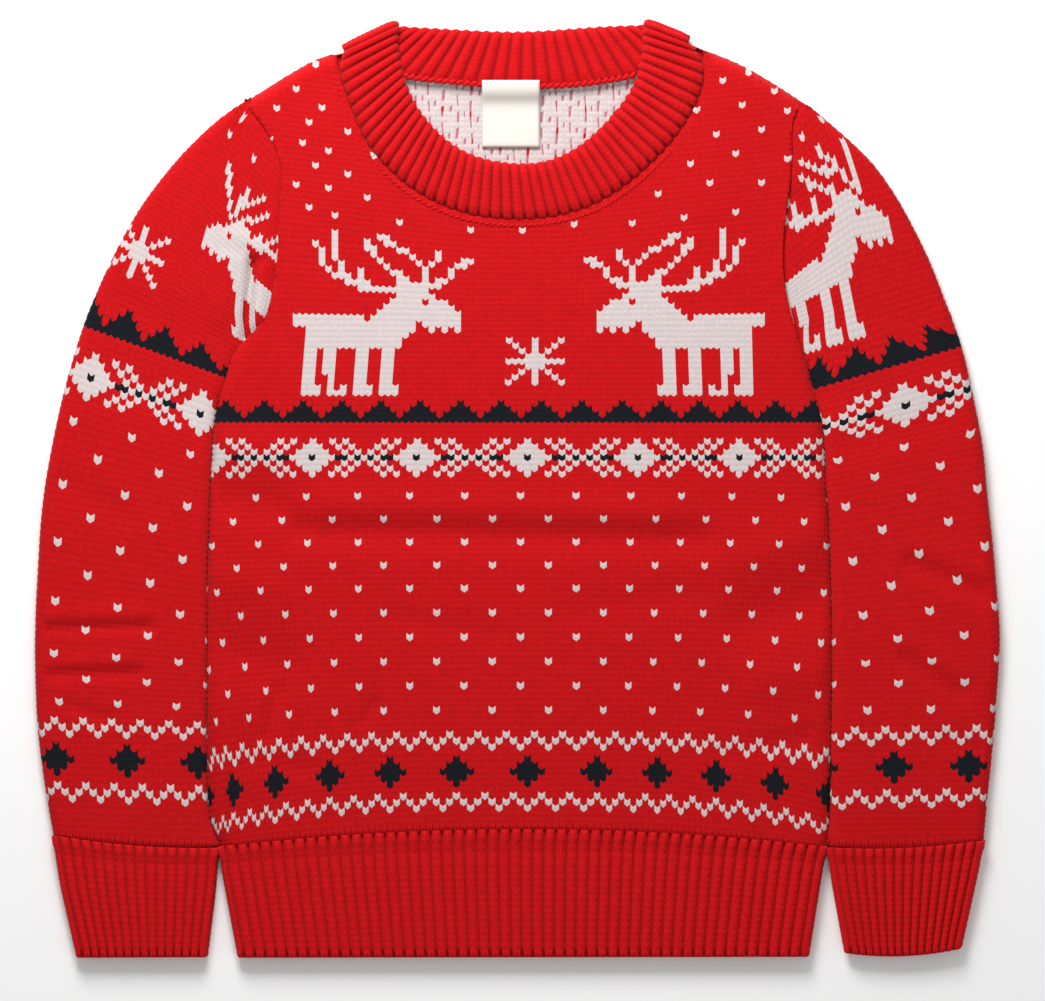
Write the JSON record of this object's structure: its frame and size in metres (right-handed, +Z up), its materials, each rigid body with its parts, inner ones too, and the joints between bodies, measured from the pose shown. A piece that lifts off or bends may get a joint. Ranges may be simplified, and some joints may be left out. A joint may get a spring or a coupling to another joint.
{
  "type": "christmas sweater",
  "caption": "Child's knitted crew-neck christmas sweater with ribbed neckband, cuffs and waistband, laid flat on its back with the sleeves down at the sides.",
  "frame": {"origin": "on the surface it lies on, under the middle of its outline", "axes": "+Z up from the surface, +Y from the waistband to the neck, +X to the wearer's left"},
  "size_m": [0.4621, 0.4496, 0.0107],
  "materials": {
    "red_knit": "matte jacquard knit, acrylic and cotton yarn",
    "red_rib": "matte ribbed knit",
    "label_cloth": "woven satin ribbon, plain"
  },
  "bodies": {
    "root": {"front": "red_knit", "back": "red_knit", "sleeve_left": "red_knit", "sleeve_right": "red_knit", "cuff_left": "red_rib", "cuff_right": "red_rib", "waistband": "red_rib", "collar": "red_rib", "label": "label_cloth"}
  },
  "joints": []
}
